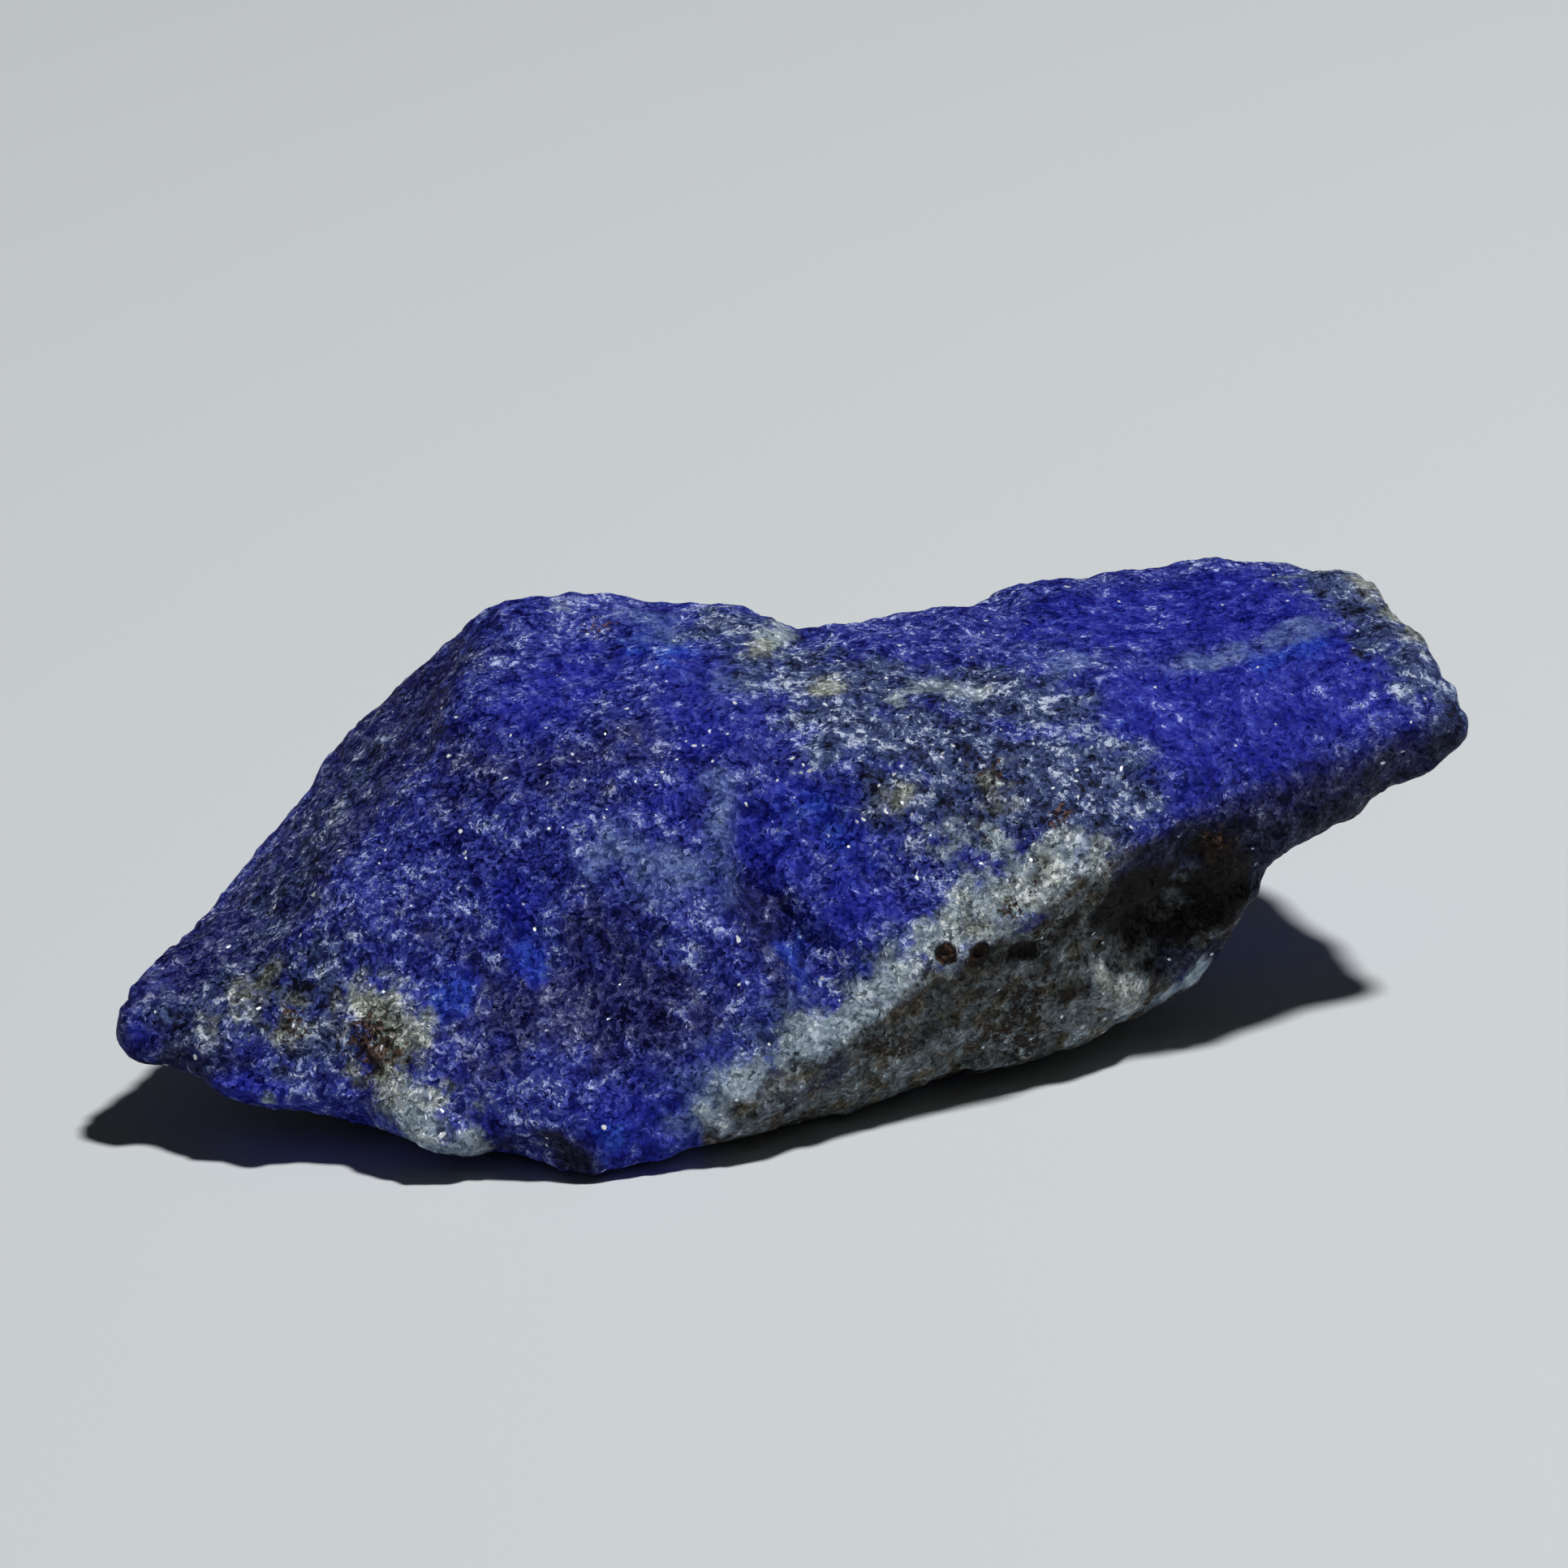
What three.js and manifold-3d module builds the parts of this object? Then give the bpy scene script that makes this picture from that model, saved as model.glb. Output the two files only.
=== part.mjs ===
// Rough lapis lazuli: one broken stone, lying on its flattest side.
// A tall hump with a steep front face stands on the left, a tilted slab juts out on the right, and a low
// nose ends the left side. Millimetres, +X along the stone, +Y to its back, +Z up.
import * as THREE from "three";
import { ConvexHull } from "three/addons/math/ConvexHull.js";
import { ImprovedNoise } from "three/addons/math/ImprovedNoise.js";
import { mergeVertices } from "three/addons/utils/BufferGeometryUtils.js";
import Module from "manifold-3d";

// Overall size of the finished stone.
const LENGTH = 46.6;
const DEPTH = 25.6;
const HEIGHT = 14.4;

// The skin: how coarsely it is first broken up, how fine it ends, and how far each pass rounds it.
const CHIP_MM = 2.3;
const GRAIN_MM = 1.2;
const CHIP_ROUNDING = 0.35;
const GRAIN_ROUNDING = 0.3;

// The lines of corners where the break stayed crisp, and how far each pass rounds those.
const CRISP_LINES = ["apronRim", "ridge", "slabLip"];
const CRISP_ROUNDING = 0.05;

// How often thin faces between corners are looked for, how alike (as a cosine) the faces that replace them
// must lie, and how wide the two angles facing a side are together when its faces count as thin.
const SWAP_PASSES = 12;
const SAME_WAY = 0.75;
const WIDE = 1.02 * Math.PI;

// The uneven break, as swellings of the skin: each has a wavelength and a height.
const SWELLINGS = [
  { wave: 5.5, height: 0.32 },
  { wave: 2.4, height: 0.2 },
  { wave: 1.15, height: 0.12 },
];

// Everything under this level is ground away, which leaves the flat patch the stone lies on.
const GROUND = 0;

// The line through the middle of the stone, from its left end to its right end. Every cross-section can be
// seen whole from the point where this line crosses it.
const heartline = [
  [-24.0, 5.2, 3.9],
  [-17.0, 7.0, 4.8],
  [-8.0, 9.2, 6.2],
  [2.0, 10.6, 6.8],
  [12.0, 12.6, 7.8],
  [17.0, 13.6, 9.8],
  [24.6, 12.2, 10.0],
].map((place) => new THREE.Vector3(...place));

// How much wider than tall a cross-section is.
const SECTION_FLATNESS = 1.4;

// Corners of the break, in lines that follow the stone's own edges, from its left end to its right end.
const corners = {
  nose: [
    [-23.5, 4.9, 3.9], [-23.1, 4.4, 2.9], [-22.2, 3.8, 2.75], [-21.2, 3.6, 3.2], [-22.4, 6.8, 5.4],
    [-21.7, 4.5, 4.8], [-20.7, 5.6, 5.0], [-20.4, 3.5, 4.1], [-21.6, 8.0, 3.4],
  ],
  crest: [
    [-20.5, 10.4, 5.7], [-18.3, 12.8, 7.4], [-16.0, 15.8, 9.2], [-14.3, 17.2, 10.5], [-12.4, 18.0, 12.0],
    [-10.3, 18.2, 13.7], [-8.9, 17.9, 14.2], [-6.1, 17.8, 14.3], [-2.0, 17.3, 13.9], [0.6, 17.4, 12.9],
    [4.1, 18.0, 12.7], [7.7, 19.4, 12.5], [8.8, 20.0, 12.9], [13.0, 21.6, 12.9], [15.3, 22.2, 12.8],
    [18.7, 21.2, 12.7], [20.2, 19.6, 13.1], [21.5, 16.7, 13.2], [22.5, 13.4, 12.1], [23.6, 11.4, 10.6],
  ],
  leftSlope: [
    [-13.8, 12.6, 10.4], [-15.1, 10.3, 9.4], [-16.6, 8.9, 8.1], [-18.4, 8.4, 6.6], [-19.1, 6.3, 5.7],
  ],
  leftBrow: [
    [-10.0, 15.2, 13.9], [-11.0, 11.7, 13.1], [-11.9, 8.9, 11.6], [-12.7, 7.1, 10.3], [-13.6, 6.0, 9.3],
    [-14.8, 5.2, 8.2], [-15.8, 4.9, 7.1], [-17.4, 4.8, 5.7],
  ],
  apron: [
    [-18.5, 3.8, 4.3], [-16.3, 3.4, 4.9], [-15.8, 2.0, 3.4], [-13.7, 3.4, 6.5], [-13.3, 1.7, 4.2],
    [-12.3, 0.1, 2.2],
  ],
  apronRim: [
    [-19.2, 1.7, 2.7], [-17.6, 1.5, 2.4], [-16.1, 1.5, 2.4], [-14.5, 1.1, 2.4], [-13.9, 0.3, 2.3],
  ],
  humpFace: [
    [-10.9, 3.9, 7.9], [-10.5, 1.5, 5.0], [-10.0, 6.0, 10.6], [-8.8, 8.6, 12.5], [-7.5, 12.0, 13.2],
    [-9.9, -0.6, 1.9], [-7.9, 0.0, 3.2], [-7.8, 2.2, 6.3], [-6.8, 4.0, 9.1], [-6.2, 6.1, 11.2],
    [-5.0, 8.6, 12.5], [-4.4, 12.8, 13.2], [-6.1, -1.1, 1.8], [-4.2, -0.5, 2.0], [-4.4, 0.9, 4.3],
    [-3.7, 2.7, 7.1], [-3.0, 4.2, 9.4], [-2.1, 5.8, 11.0], [-1.8, 8.2, 12.5], [-1.5, 12.3, 13.3],
  ],
  saddle: [
    [-1.7, 0.8, 4.0], [-0.7, 2.3, 6.2], [-0.6, 3.7, 8.6], [0.5, 5.2, 10.2], [1.3, 6.7, 11.7],
    [1.6, 9.5, 12.7], [1.2, 13.3, 13.1], [2.2, 2.5, 6.3], [3.2, 3.8, 8.0], [3.8, 5.1, 9.8],
    [4.8, 6.5, 11.6], [5.2, 9.5, 12.5], [5.4, 14.2, 12.7], [5.3, 3.4, 7.5], [6.8, 4.5, 9.0],
    [7.7, 6.1, 11.0], [8.5, 8.6, 12.1], [9.1, 12.0, 12.6], [9.6, 16.6, 12.8],
  ],
  ridge: [
    [-3.2, -0.6, 1.1], [-1.3, -0.4, 1.9], [0.7, 0.4, 3.4], [2.1, 1.0, 4.1], [3.5, 1.5, 4.7],
    [4.6, 1.9, 5.2], [5.8, 2.4, 6.1], [7.2, 3.0, 6.7], [8.5, 3.4, 7.0], [9.4, 3.8, 7.5],
    [10.6, 4.6, 8.1],
  ],
  slabLip: [
    [11.7, 5.1, 8.7], [13.1, 5.9, 8.9], [14.8, 6.5, 9.1], [16.3, 7.1, 9.4], [18.6, 8.2, 9.7],
    [20.3, 9.3, 10.1], [21.8, 10.1, 10.2],
  ],
  slabTop: [
    [10.1, 5.4, 9.6], [11.4, 7.2, 11.0], [12.4, 9.7, 12.1], [13.1, 13.7, 12.7], [13.7, 18.5, 12.8],
    [14.1, 7.0, 10.3], [15.7, 9.6, 11.6], [16.8, 12.8, 12.5], [17.8, 17.4, 12.7], [18.3, 9.8, 11.1],
    [19.6, 12.5, 12.2], [20.1, 16.2, 12.8], [21.2, 11.2, 11.4],
  ],
  slabEnd: [
    [24.0, 10.9, 9.9], [23.8, 10.8, 9.2], [22.8, 10.4, 8.4], [20.4, 10.0, 7.6], [18.0, 8.4, 7.2],
    [16.9, 7.2, 6.6], [15.9, 6.6, 6.0],
  ],
  rightLump: [
    [15.1, 6.7, 5.3], [15.1, 6.7, 4.7], [14.7, 7.6, 3.5], [14.4, 8.6, 2.3], [13.8, 9.0, 1.3],
    [13.2, 7.5, 3.1], [12.5, 7.6, 2.3],
  ],
  shadedFace: [
    [0.4, 0.9, 1.9], [3.2, 2.0, 2.6], [5.4, 3.0, 3.5], [8.5, 4.1, 4.4], [8.7, 4.7, 2.4],
    [11.1, 5.6, 6.0], [11.0, 5.8, 3.0], [13.1, 6.5, 6.7], [13.1, 7.7, 4.8], [14.5, 6.7, 7.1],
    [14.8, 7.5, 5.5],
  ],
  foot: [
    [12.8, 8.6, 1.1], [10.1, 6.1, 1.0], [5.9, 4.5, 0.9], [3.1, 3.1, 0.9], [1.2, 2.2, 0.9],
    [-2.4, -0.1, 0.8], [-5.1, -1.2, 0.4], [-6.5, -1.9, 0.0], [-8.3, -1.4, 0.6], [-9.4, 0.0, 0.6],
    [-10.6, -0.2, 0.7], [-11.6, -1.2, 1.0], [-13.4, -0.8, 1.8], [-14.6, 2.4, 0.9], [-17.2, 3.4, 1.2],
    [-19.2, 3.0, 1.9], [-20.6, 3.2, 2.8],
  ],
  back: [
    [-19.4, 12.2, 3.6], [-16.6, 16.8, 4.8], [-13.2, 19.8, 6.2], [-8.8, 21.2, 7.6], [-3.6, 20.6, 8.2],
    [1.2, 20.6, 6.8], [6.2, 22.4, 7.4], [11.0, 24.0, 7.8], [16.0, 24.2, 9.0], [20.4, 21.6, 9.4],
    [22.6, 16.4, 9.2], [23.0, 12.8, 8.8],
  ],
  backFoot: [
    [-17.8, 12.0, 1.6], [-14.4, 16.4, 1.2], [-9.4, 19.4, 1.0], [-3.8, 19.6, 0.8], [2.0, 19.0, 0.6],
    [7.4, 20.0, 1.2], [12.4, 20.6, 2.6], [17.2, 19.2, 4.8], [20.2, 15.6, 6.4],
  ],
  underside: [
    [-16.4, 5.6, 0.9], [-13.4, 4.4, -0.3], [-8.0, 2.6, -0.4], [-2.6, 3.6, -0.4], [3.0, 6.4, -0.4],
    [8.6, 9.2, -0.3], [-12.6, 10.4, -0.4], [-6.0, 9.6, -0.5], [1.0, 12.0, -0.5], [-8.6, 15.6, -0.4],
    [-1.0, 16.6, -0.3], [6.0, 15.8, -0.2], [12.2, 13.2, 1.6], [14.6, 11.0, 3.4], [15.6, 9.8, 5.2],
    [17.0, 10.4, 6.4], [18.4, 12.6, 6.8], [16.4, 14.5, 5.2],
  ],
};

// Places where a flake has come away, as shallow hollows.
const hollows = [
  { name: "facet right of the hump's step", at: [0.6, 4.2, 9.4], radius: 2.6, depth: 0.5 },
  { name: "hollow under the slab", at: [12.9, 6.9, 5.3], radius: 2.2, depth: 1.2 },
  { name: "chip in the front foot", at: [-9.4, -1.0, 1.1], radius: 1.1, depth: 0.5 },
  { name: "scar on the shaded face", at: [11.0, 5.4, 4.6], radius: 1.6, depth: 0.4 },
  { name: "notch where the slab juts out", at: [15.6, 6.8, 6.0], radius: 1.5, depth: 0.7 },
  { name: "dip behind the saddle", at: [0.7, 17.2, 13.0], radius: 2.4, depth: 0.4 },
  { name: "flake off the back", at: [-5.0, 21.0, 5.5], radius: 4.0, depth: 1.1 },
  { name: "flake off the back of the slab", at: [13.5, 23.5, 8.0], radius: 3.4, depth: 0.8 },
  { name: "pocket in the apron", at: [-18.9, 2.1, 3.1], radius: 1.0, depth: 0.4 },
];

// Lumps of tougher rock that stand proud of the break.
const lumps = [
  { name: "knob on the nose", at: [-21.8, 4.2, 4.4], radius: 1.6, height: 0.25 },
  { name: "foot of pale calcite", at: [-12.0, -0.6, 1.8], radius: 1.3, height: 0.35 },
  { name: "white bump on the apron's rim", at: [-17.6, 1.4, 2.5], radius: 0.9, height: 0.25 },
  { name: "block under the saddle", at: [3.2, 2.6, 6.4], radius: 1.8, height: 0.35 },
  { name: "bulge low on the hump", at: [-4.4, 0.4, 3.6], radius: 2.6, height: 0.3 },
  { name: "knuckle on the crest", at: [8.4, 19.6, 12.8], radius: 1.6, height: 0.3 },
];

// Scarps: along a line from one end to the other, the rock on the far side of it drops by a little.
const scarps = [
  { name: "step right of the hump", from: [-1.7, 3.6, 9.7], to: [-1.6, 2.7, 7.2], drop: 0.45, reach: 1.6 },
  { name: "groove to the ridge", from: [-0.7, 2.9, 7.0], to: [0.7, 1.4, 4.6], drop: 0.4, reach: 1.3 },
];

const vector = (place) => new THREE.Vector3(...place);

// Where the heartline crosses the cross-section that a place lies in.
function heartAt(place) {
  const next = Math.max(1, heartline.findIndex((point) => point.x > place.x));
  const [before, after] = [heartline[next - 1], heartline[next]];
  return before.clone().lerp(after, (place.x - before.x) / (after.x - before.x));
}

// The direction of a place on a globe whose poles are the stone's ends: how far along the stone it lies
// gives its latitude, and the way it faces in its cross-section gives its longitude.
function globeDirection(place) {
  const [left, right] = [heartline.at(0).x, heartline.at(-1).x];
  const latitude = Math.asin(THREE.MathUtils.mapLinear(place.x, left, right, -1, 1));
  const out = place.clone().sub(heartAt(place));
  const longitude = Math.atan2(out.z * SECTION_FLATNESS, out.y);
  const waist = Math.cos(latitude);
  return new THREE.Vector3(Math.sin(latitude), waist * Math.cos(longitude), waist * Math.sin(longitude));
}

// Joins each corner to its neighbours, which are the corners next to it on the globe.
function joinCorners(places) {
  const directions = places.map(globeDirection);
  const index = new Map(directions.map((direction, i) => [direction, i]));
  const hull = new ConvexHull().setFromPoints(directions);
  const faces = hull.faces.map((face) => {
    const edges = [face.edge, face.edge.next, face.edge.next.next];
    return edges.map((edge) => index.get(edge.head().point));
  });
  return { places, faces };
}

// The square-on direction of a face.
function faceNormal([a, b, c], places) {
  const one = places[b].clone().sub(places[a]);
  return one.cross(places[c].clone().sub(places[a])).normalize();
}

// The angle at the second of three places.
const angleAt = (from, at, to) => from.clone().sub(at).angleTo(to.clone().sub(at));

// Each side of each face, by its two ends in order: the face it belongs to, and that face's third corner.
function sidesOf(faces) {
  const sides = new Map();
  faces.forEach(([a, b, c], face) => {
    sides.set(`${a} ${b}`, [face, c]);
    sides.set(`${b} ${c}`, [face, a]);
    sides.set(`${c} ${a}`, [face, b]);
  });
  return sides;
}

// Where two neighbouring faces are long and thin, joins their far corners instead, if that leaves the
// break facing much the same way.
function swapThinPairs({ places, faces }) {
  const sides = sidesOf(faces);
  const touched = new Set();
  for (const [side, [near, nearTip]] of sides) {
    const [a, b] = side.split(" ").map(Number);
    const [far, farTip] = sides.get(`${b} ${a}`);
    if (touched.has(near) || touched.has(far) || sides.has(`${nearTip} ${farTip}`)) continue;
    const [start, end, tip, otherTip] = [a, b, nearTip, farTip].map((corner) => places[corner]);
    if (angleAt(start, tip, end) + angleAt(start, otherTip, end) < WIDE) continue;
    const pair = [[nearTip, farTip, b], [farTip, nearTip, a]];
    const facing = faceNormal(faces[near], places).add(faceNormal(faces[far], places)).normalize();
    if (pair.some((face) => faceNormal(face, places).dot(facing) < SAME_WAY)) continue;
    [faces[near], faces[far]] = pair;
    [near, far].forEach((i) => touched.add(i));
  }
}

// Halves every edge longer than the given length, again and again, until none is left. The middle of a
// crisp edge is crisp too.
function refine(skin, longest) {
  const { places, crisp } = skin;
  let { faces } = skin;
  for (;;) {
    const middles = new Map();
    const middle = (a, b) => {
      if (places[a].distanceTo(places[b]) <= longest) return null;
      const key = a < b ? `${a} ${b}` : `${b} ${a}`;
      if (!middles.has(key)) {
        middles.set(key, places.length);
        if (crisp.has(a) && crisp.has(b)) crisp.add(places.length);
        places.push(places[a].clone().lerp(places[b], 0.5));
      }
      return middles.get(key);
    };
    faces = faces.flatMap((face) => splitFace(face, places, middle));
    if (!middles.size) return { places, faces, crisp };
  }
}

// Splits one triangle at the middles of its long edges.
function splitFace([a, b, c], places, middle) {
  const [ab, bc, ca] = [middle(a, b), middle(b, c), middle(c, a)];
  const split = [ab, bc, ca].filter((point) => point !== null).length;
  if (split === 0) return [[a, b, c]];
  if (split === 3) return [[a, ab, ca], [ab, b, bc], [ca, bc, c], [ab, bc, ca]];
  // Turned so that the first edge is split and, where two are, the second one is too.
  if (ab === null || (bc === null && ca !== null)) return splitFace([b, c, a], places, middle);
  if (bc === null) return [[a, ab, c], [ab, b, c]];
  const shorter = places[ab].distanceTo(places[c]) < places[a].distanceTo(places[bc]);
  const cap = [ab, b, bc];
  return shorter ? [cap, [a, ab, c], [ab, bc, c]] : [cap, [a, ab, bc], [a, bc, c]];
}

// Moves each point part of the way to the middle of its neighbours, which rounds all but the crisp edges.
function round(skin, share) {
  const sums = skin.places.map(() => ({ sum: new THREE.Vector3(), count: 0 }));
  for (const [a, b, c] of skin.faces) {
    for (const [from, to] of [[a, b], [b, c], [c, a]]) {
      sums[from].sum.add(skin.places[to]);
      sums[from].count += 1;
    }
  }
  skin.places.forEach((place, i) => {
    const ownShare = skin.crisp.has(i) ? CRISP_ROUNDING : share;
    place.lerp(sums[i].sum.divideScalar(sums[i].count), ownShare);
  });
}

// The outward direction at each point, from the faces round it.
function outwards(skin) {
  const normals = skin.places.map(() => new THREE.Vector3());
  for (const [a, b, c] of skin.faces) {
    const one = skin.places[b].clone().sub(skin.places[a]);
    const other = skin.places[c].clone().sub(skin.places[a]);
    const across = one.cross(other);
    for (const corner of [a, b, c]) normals[corner].add(across);
  }
  return normals.map((normal) => normal.normalize());
}

// 1 at the middle of a mark, falling smoothly to 0 at its radius.
const fade = (distance, radius) => THREE.MathUtils.smoothstep(radius - distance, 0, radius);

// How far a scarp lowers a point: fully just beyond the line, fading out with distance and past its ends.
function scarpDrop(place, { from, to, drop, reach }) {
  const start = vector(from);
  const along = vector(to).sub(start);
  const length = along.length();
  along.divideScalar(length);
  const offset = place.clone().sub(start);
  const run = offset.dot(along);
  const across = new THREE.Vector3().crossVectors(along, new THREE.Vector3(0, -1, 0));
  const side = offset.dot(across.normalize());
  const beyond = Math.max(0, -run, run - length);
  const flank = THREE.MathUtils.smoothstep(-side, -0.35, 0.35);
  return drop * flank * fade(Math.hypot(side, beyond), reach);
}

const noise = new ImprovedNoise();

// The height of the break above the smooth skin at a place: swellings, lumps, hollows and scarps.
function relief(place) {
  let height = 0;
  for (const { wave, height: rise } of SWELLINGS) {
    height += rise * noise.noise(place.x / wave + wave, place.y / wave, place.z / wave);
  }
  for (const { at, radius, height: rise } of lumps) {
    height += rise * fade(place.distanceTo(vector(at)), radius);
  }
  for (const { at, radius, depth } of hollows) {
    height -= depth * fade(place.distanceTo(vector(at)), radius);
  }
  for (const scarp of scarps) height -= scarpDrop(place, scarp);
  return height;
}

function roughen(skin) {
  const normals = outwards(skin);
  const heights = skin.places.map(relief);
  skin.places.forEach((place, i) => place.addScaledVector(normals[i], heights[i]));
}

const wasm = await Module();
wasm.setup();

function solidOf(geometry) {
  const bare = geometry.clone();
  bare.deleteAttribute("normal");
  bare.deleteAttribute("uv");
  const merged = mergeVertices(bare, 1e-5);
  return new wasm.Manifold(
    new wasm.Mesh({
      numProp: 3,
      vertProperties: merged.attributes.position.array,
      triVerts: new Uint32Array(merged.index.array),
    }),
  );
}

function geometryOf(solid) {
  const { vertProperties, triVerts } = solid.getMesh();
  const geometry = new THREE.BufferGeometry();
  geometry.setAttribute("position", new THREE.BufferAttribute(vertProperties, 3));
  geometry.setIndex(new THREE.BufferAttribute(triVerts, 1));
  return geometry;
}

// Takes away all that lies under the ground, which leaves the stone a flat patch to lie on.
function flattenBase(geometry) {
  const block = new THREE.BoxGeometry(3 * LENGTH, 3 * DEPTH, HEIGHT);
  block.translate(0, 0, GROUND - HEIGHT / 2);
  return geometryOf(solidOf(geometry).subtract(solidOf(block)));
}

// Brings the stone to its overall size and stands it on the middle of its footprint.
function fitToSize(geometry) {
  geometry.computeBoundingBox();
  const size = geometry.boundingBox.getSize(new THREE.Vector3());
  const middle = geometry.boundingBox.getCenter(new THREE.Vector3());
  geometry.translate(-middle.x, -middle.y, -geometry.boundingBox.min.z);
  geometry.scale(LENGTH / size.x, DEPTH / size.y, HEIGHT / size.z);
  return geometry;
}

// The numbers of the corners that lie on the crisp lines.
function crispCorners() {
  const lines = Object.entries(corners).flatMap(([line, places]) => places.map(() => line));
  return new Set(lines.flatMap((line, i) => (CRISP_LINES.includes(line) ? [i] : [])));
}

function stone() {
  let skin = joinCorners(Object.values(corners).flat().map(vector));
  skin.crisp = crispCorners();
  for (let pass = 0; pass < SWAP_PASSES; pass += 1) swapThinPairs(skin);
  skin = refine(skin, CHIP_MM);
  round(skin, CHIP_ROUNDING);
  skin = refine(skin, GRAIN_MM);
  round(skin, GRAIN_ROUNDING);
  roughen(skin);
  const geometry = new THREE.BufferGeometry().setFromPoints(skin.places);
  geometry.setIndex(skin.faces.flat());
  const whole = fitToSize(flattenBase(geometry));
  whole.computeVertexNormals();
  return whole;
}

// Deep ultramarine lazurite, dull where it is broken.
const lapis = new THREE.MeshStandardMaterial({ color: 0x1d2a8c, roughness: 0.62, metalness: 0 });

const lapisStone = new THREE.Mesh(stone(), lapis);
lapisStone.name = "lapis_lazuli_stone";

const specimen = new THREE.Group();
specimen.add(lapisStone);

export default specimen;
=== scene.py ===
from math import pi, radians

import bpy
import numpy as np
from mathutils import Matrix, Vector


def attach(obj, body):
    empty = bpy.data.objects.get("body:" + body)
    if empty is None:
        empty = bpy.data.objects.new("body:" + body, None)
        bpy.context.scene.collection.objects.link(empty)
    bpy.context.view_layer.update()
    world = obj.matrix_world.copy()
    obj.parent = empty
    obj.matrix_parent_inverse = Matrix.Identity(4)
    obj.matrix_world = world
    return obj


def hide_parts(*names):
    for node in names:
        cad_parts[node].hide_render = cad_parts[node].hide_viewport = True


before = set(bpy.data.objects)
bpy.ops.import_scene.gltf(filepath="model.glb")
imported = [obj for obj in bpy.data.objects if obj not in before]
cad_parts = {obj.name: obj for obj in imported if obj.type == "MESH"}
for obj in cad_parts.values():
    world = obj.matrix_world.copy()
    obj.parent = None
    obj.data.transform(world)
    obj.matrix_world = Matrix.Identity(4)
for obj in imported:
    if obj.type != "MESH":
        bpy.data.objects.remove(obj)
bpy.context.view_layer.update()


# ---- The view ----
# The stone is seen from in front and a little above, close up through a long lens, with the camera
# rolled a few degrees so that the table rises to the right.
VIEW_ELEVATION = radians(20.0)
VIEW_ROLL = radians(3.0)
VIEW_DISTANCE = 0.220
VIEW_WIDTH = 0.05216
VIEW_CENTRE = Vector((-0.000393, -0.006984, 0.01162))
VIEW_NEAREST = 0.01
VIEW_FARTHEST = 10.0

view_data = bpy.data.cameras.new("view")
view_data.lens = view_data.sensor_width * VIEW_DISTANCE / VIEW_WIDTH
view_data.clip_start = VIEW_NEAREST
view_data.clip_end = VIEW_FARTHEST
view_camera = bpy.data.objects.new("view", view_data)
bpy.context.collection.objects.link(view_camera)
view_turn = Matrix.Rotation(pi / 2 - VIEW_ELEVATION, 4, "X") @ Matrix.Rotation(-VIEW_ROLL, 4, "Z")
view_back = view_turn @ Vector((0.0, 0.0, 1.0))
view_camera.matrix_world = Matrix.Translation(VIEW_CENTRE + view_back * VIEW_DISTANCE) @ view_turn
bpy.context.scene.camera = view_camera


# ---- The light ----
# One soft lamp high on the right, a little in front, and an even pale sky. The sky is faint, so that
# the shadows stay dark and the relief stands out.
LAMP_SIDE = (0.36, -0.08, 1.0)
LAMP_DISTANCE = 0.9
LAMP_WIDTH = 0.10
LAMP_WATTS = 7.2
LAMP_COLOUR = (1.0, 0.99, 0.975)
SKY_COLOUR = (0.78, 0.80, 0.64, 1.0)
SKY_STRENGTH = 0.028

lamp_data = bpy.data.lights.new("lamp", "AREA")
lamp_data.shape = "DISK"
lamp_data.size = LAMP_WIDTH
lamp_data.energy = LAMP_WATTS
lamp_data.color = LAMP_COLOUR
lamp = bpy.data.objects.new("lamp", lamp_data)
bpy.context.collection.objects.link(lamp)
lamp_back = Vector(LAMP_SIDE).normalized()
lamp.location = lamp_back * LAMP_DISTANCE
lamp.rotation_euler = lamp_back.to_track_quat("Z", "Y").to_euler()

sky = bpy.data.worlds.new("sky")
sky.use_nodes = True
sky.node_tree.nodes["Background"].inputs["Color"].default_value = SKY_COLOUR
sky.node_tree.nodes["Background"].inputs["Strength"].default_value = SKY_STRENGTH
bpy.context.scene.world = sky
bpy.context.scene.view_settings.view_transform = "Standard"


# ---- The floor ----
# A plain pale matt surface, wide enough to fill every view. The stone lies on it, and it is only the
# stage.
FLOOR_WIDTH = 3.0
FLOOR_COLOUR = (0.70, 0.745, 0.78, 1.0)
FLOOR_ROUGHNESS = 0.85

bpy.ops.object.select_all(action="DESELECT")
bpy.ops.mesh.primitive_plane_add(size=FLOOR_WIDTH)
floor = bpy.context.object
floor.name = "floor"
floor_finish = bpy.data.materials.new("pale_floor")
floor_finish.use_nodes = True
floor_shader = floor_finish.node_tree.nodes["Principled BSDF"]
floor_shader.inputs["Base Color"].default_value = FLOOR_COLOUR
floor_shader.inputs["Roughness"].default_value = FLOOR_ROUGHNESS
floor.data.materials.append(floor_finish)


# ---- The stone's shape ----
# One broken piece of rough lapis. The CAD solid's skin is smoothed and divided, then broken up again
# as the rock is: blunt chips, sugary grains, and the dents, steps and lumps that this piece has.
MM = 0.001
FINE_LEVELS = 2
SAME_PLACE = 1e-6
FLAT_BASE_MM = 0.25
BREAK_MIDDLE = 0.45

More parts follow.
